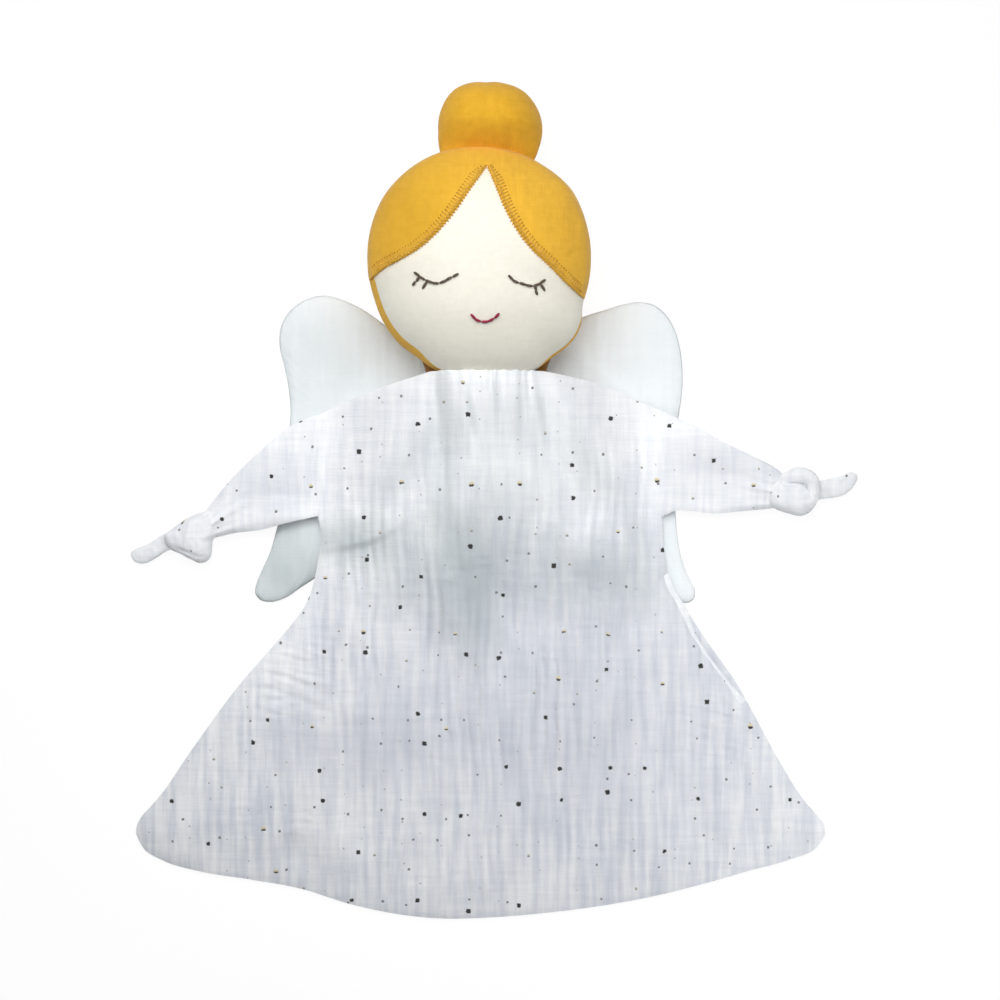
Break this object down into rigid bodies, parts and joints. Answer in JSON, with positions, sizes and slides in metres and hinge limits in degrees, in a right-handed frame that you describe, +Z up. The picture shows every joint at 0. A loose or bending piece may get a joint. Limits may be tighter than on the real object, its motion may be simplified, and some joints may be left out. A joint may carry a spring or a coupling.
{
  "type": "comforter doll",
  "caption": "Flat baby comforter doll lying on its back: stuffed head with bun, limp gauze dress, knotted sleeves and padded wings.",
  "frame": {"origin": "centre of the bounding box, on the surface that the doll lies on", "axes": "+X to the viewer's right when looking down on the face, +Y from the hem towards the head, +Z up off the surface"},
  "size_m": [0.281, 0.32, 0.0564],
  "materials": {
    "speckled_gauze": "crinkled cotton double gauze with scattered foil flecks",
    "white_gauze": "plain crinkled cotton double gauze",
    "cream_cotton": "smooth woven cotton",
    "mustard_gauze": "crinkled cotton muslin",
    "mustard_thread": "sewing thread",
    "dark_thread": "embroidery thread",
    "red_thread": "embroidery thread",
    "wadding": "polyester fibre filling"
  },
  "bodies": {
    "torso": {"bodice_front": "speckled_gauze", "bodice_back": "speckled_gauze", "neck_thread": "white_gauze", "wing_left_base": "white_gauze", "wing_right_base": "white_gauze", "wing_seam": "white_gauze"},
    "neck": {"neck_stem": "mustard_gauze"},
    "head": {"face_panel": "cream_cotton", "head_back_panel": "mustard_gauze", "head_stuffing": "wadding", "hair_panel": "mustard_gauze", "hair_stitch": "mustard_thread", "eye_left": "dark_thread", "eye_right": "dark_thread", "mouth": "red_thread"},
    "bun": {"bun_cover": "mustard_gauze", "bun_stuffing": "wadding"},
    "skirt": {"skirt_front": "speckled_gauze", "skirt_back": "speckled_gauze"},
    "arm_left": {"sleeve_left_front": "speckled_gauze", "sleeve_left_back": "speckled_gauze"},
    "arm_right": {"sleeve_right_front": "speckled_gauze", "sleeve_right_back": "speckled_gauze"},
    "hand_left": {"knot_left": "speckled_gauze", "knot_tail_left": "speckled_gauze"},
    "hand_right": {"knot_right": "speckled_gauze", "knot_tail_right": "speckled_gauze"},
    "wing_left": {"wing_left_tip": "white_gauze"},
    "wing_right": {"wing_right_tip": "white_gauze"}
  },
  "joints": [
    {"name": "head_turn", "type": "hinge", "parent": "torso", "child": "neck", "pos_m": [-0.00345, 0.05, 0.0248], "axis": [0, 1, 0], "range_deg": [-25, 25]},
    {"name": "head_nod", "type": "hinge", "parent": "neck", "child": "head", "pos_m": [-0.00345, 0.0503, 0.046], "axis": [1, 0, 0], "range_deg": [0, 45]},
    {"name": "bun_tilt", "type": "hinge", "parent": "head", "child": "bun", "pos_m": [-0.00165, 0.132, 0.037], "axis": [1, 0, 0], "range_deg": [0, 40]},
    {"name": "skirt_fold", "type": "hinge", "parent": "torso", "child": "skirt", "pos_m": [-0.00145, -0.031, 0.0176], "axis": [-1, 0, 0], "range_deg": [0, 90]},
    {"name": "arm_left_fold", "type": "hinge", "parent": "torso", "child": "arm_left", "pos_m": [-0.0678, 0.0155, 0.0116], "axis": [0.06, 0.9982, 0], "range_deg": [0, 120]},
    {"name": "arm_right_fold", "type": "hinge", "parent": "torso", "child": "arm_right", "pos_m": [0.0661, 0.0155, 0.0116], "axis": [0.0451, -0.999, 0], "range_deg": [0, 120]},
    {"name": "hand_left_flop", "type": "hinge", "parent": "arm_left", "child": "hand_left", "pos_m": [-0.11033, -0.00703, 0.0144], "axis": [-0.4695, 0.8829, 0], "range_deg": [0, 80]},
    {"name": "hand_right_flop", "type": "hinge", "parent": "arm_right", "child": "hand_right", "pos_m": [0.10782, 0.00666, 0.0144], "axis": [-0.2079, -0.9781, 0], "range_deg": [0, 80]},
    {"name": "wing_left_fold", "type": "hinge", "parent": "torso", "child": "wing_left", "pos_m": [-0.06395, 0.056, 0.005], "axis": [0.6525, 0.7578, 0], "range_deg": [0, 90]},
    {"name": "wing_right_fold", "type": "hinge", "parent": "torso", "child": "wing_right", "pos_m": [0.05305, 0.056, 0.005], "axis": [0.6525, -0.7578, 0], "range_deg": [0, 90]}
  ]
}
